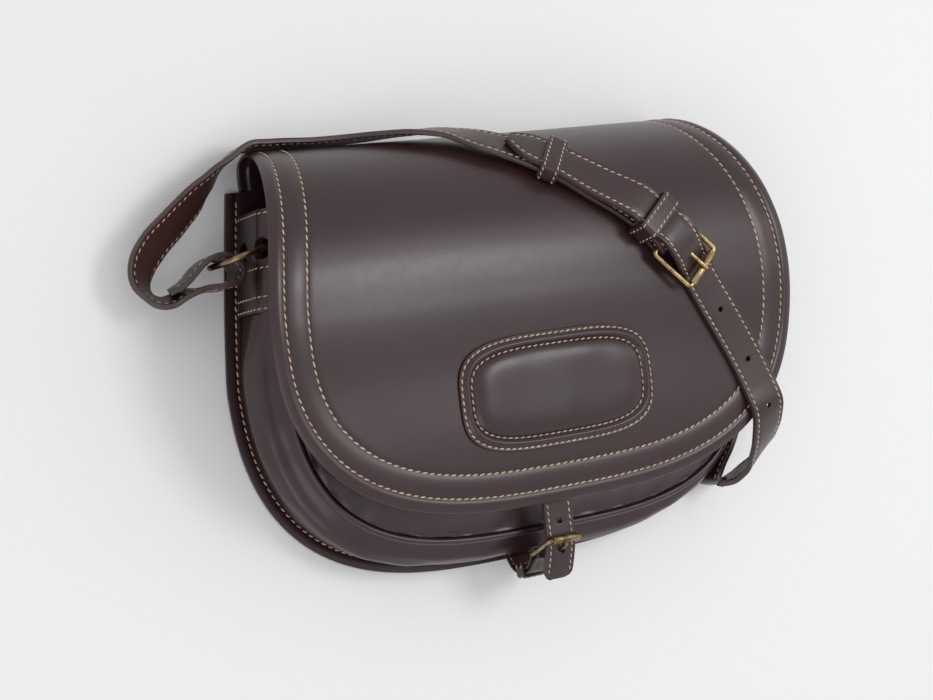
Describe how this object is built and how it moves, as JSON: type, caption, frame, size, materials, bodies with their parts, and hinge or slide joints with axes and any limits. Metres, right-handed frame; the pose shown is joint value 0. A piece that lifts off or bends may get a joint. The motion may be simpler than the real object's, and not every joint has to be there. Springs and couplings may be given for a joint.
{
  "type": "hunting game bag",
  "caption": "Smooth leather cartridge bag with a long rounded flap, padded patch, bellows gusset, buckled front strap and a shoulder strap on side rings, lying on its back.",
  "frame": {"origin": "on the flat underside of the back panel, on the bag's middle line, 125 mm above its bottom edge", "axes": "+X across the bag to the side where the strap buckle lies, +Y towards the top fold, +Z out of the front flap"},
  "size_m": [0.4416, 0.2917, 0.1079],
  "materials": {
    "bag_leather": "smooth dark-brown polished leather with fine grain and tan thread",
    "strap_leather": "smooth dark-brown strap leather, stitched near its edges, with paler cut edges",
    "aged_brass": "aged brass, darker in its corners"
  },
  "bodies": {
    "root": {"back_panel": "bag_leather", "flap": "bag_leather", "gusset": "bag_leather", "front_panel": "bag_leather", "front_welt": "bag_leather", "patch": "bag_leather", "side_tab_left": "bag_leather", "side_tab_right": "bag_leather", "strap_short": "strap_leather", "strap_long": "strap_leather", "strap_keeper_1": "strap_leather", "strap_keeper_2": "strap_leather", "closure_strap": "strap_leather", "closure_chape": "strap_leather", "closure_keeper": "strap_leather", "ring_left": "aged_brass", "ring_right": "aged_brass", "strap_buckle_frame": "aged_brass", "strap_buckle_roller": "aged_brass", "strap_buckle_tongue": "aged_brass", "closure_buckle_frame": "aged_brass", "closure_buckle_roller": "aged_brass", "closure_buckle_tongue": "aged_brass"}
  },
  "joints": []
}
